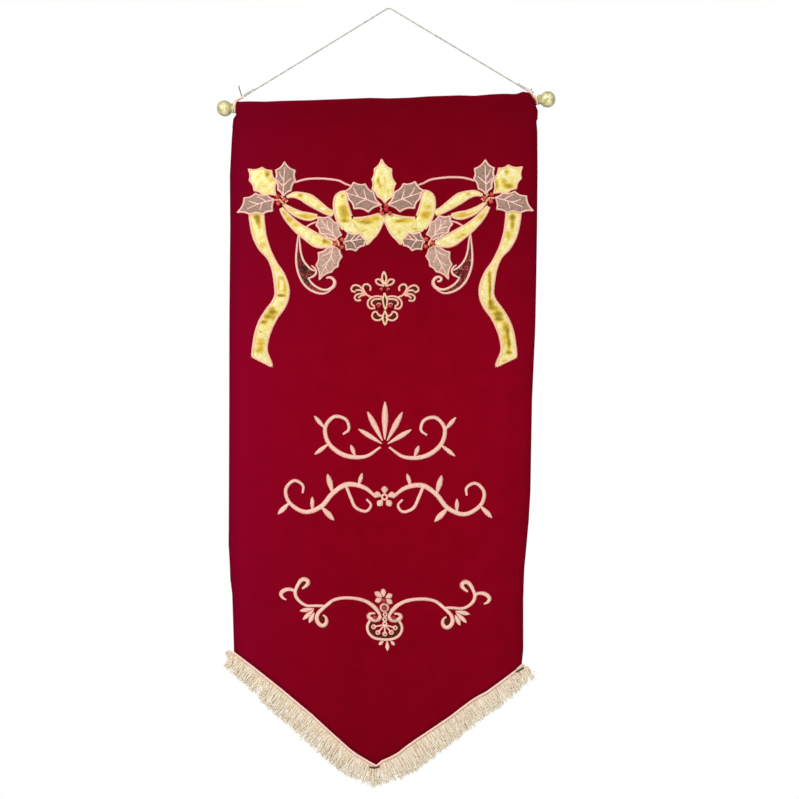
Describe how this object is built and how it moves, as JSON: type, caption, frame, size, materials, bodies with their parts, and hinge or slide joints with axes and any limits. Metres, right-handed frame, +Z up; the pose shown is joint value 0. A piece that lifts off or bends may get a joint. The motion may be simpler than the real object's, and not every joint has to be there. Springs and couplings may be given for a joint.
{
  "type": "christmas banner with hanging rod",
  "caption": "Red velvet pennant with a V bottom, fringe and sewn holly, ribbon and scrollwork, hung by a cord from a dowel with ball finials.",
  "frame": {"origin": "the hang point: the underside of the cord where it bends over the nail", "axes": "+Z up, the banner's front faces -Y, +X to the right as seen from the front"},
  "size_m": [0.5166, 0.0236, 1.2153],
  "materials": {
    "velvet": "deep red cotton velvet, short pile",
    "dowel_wood": "plain turned softwood",
    "gold_paint": "pale gold paint on turned wood",
    "cord": "twisted beige rayon cord",
    "fringe": "cream rayon, cut",
    "lame": "gold metallic cloth, satin sheen",
    "organza": "mauve sheer, matt",
    "dark_sheer": "dark sheer with glitter"
  },
  "bodies": {
    "root": {"cord_tie_left": "cord", "cord_tie_right": "cord", "crescent_left": "dark_sheer", "crescent_right": "dark_sheer", "finial_left": "gold_paint", "finial_right": "gold_paint", "fringe_left": "fringe", "fringe_right": "fringe", "hanging_cord": "cord", "leaf_centre_gold": "lame", "leaf_centre_side_left": "organza", "leaf_centre_side_right": "organza", "leaf_low_down_left": "organza", "leaf_low_down_right": "organza", "leaf_low_side_left": "organza", "leaf_low_side_right": "organza", "leaf_low_up_left": "organza", "leaf_low_up_right": "organza", "leaf_top_gold_left": "lame", "leaf_top_gold_right": "lame", "leaf_top_side_left": "organza", "leaf_top_side_right": "organza", "leaf_top_up_left": "organza", "leaf_top_up_right": "organza", "panel": "velvet", "ribbon_lobe_left": "lame", "ribbon_lobe_right": "lame", "ribbon_lower_left": "lame", "ribbon_lower_right": "lame", "ribbon_middle_left": "lame", "ribbon_middle_right": "lame", "ribbon_side_left": "lame", "ribbon_side_right": "lame", "ribbon_tail_left": "lame", "ribbon_tail_right": "lame", "ribbon_upper_left": "lame", "ribbon_upper_right": "lame", "rod": "dowel_wood"}
  },
  "joints": []
}
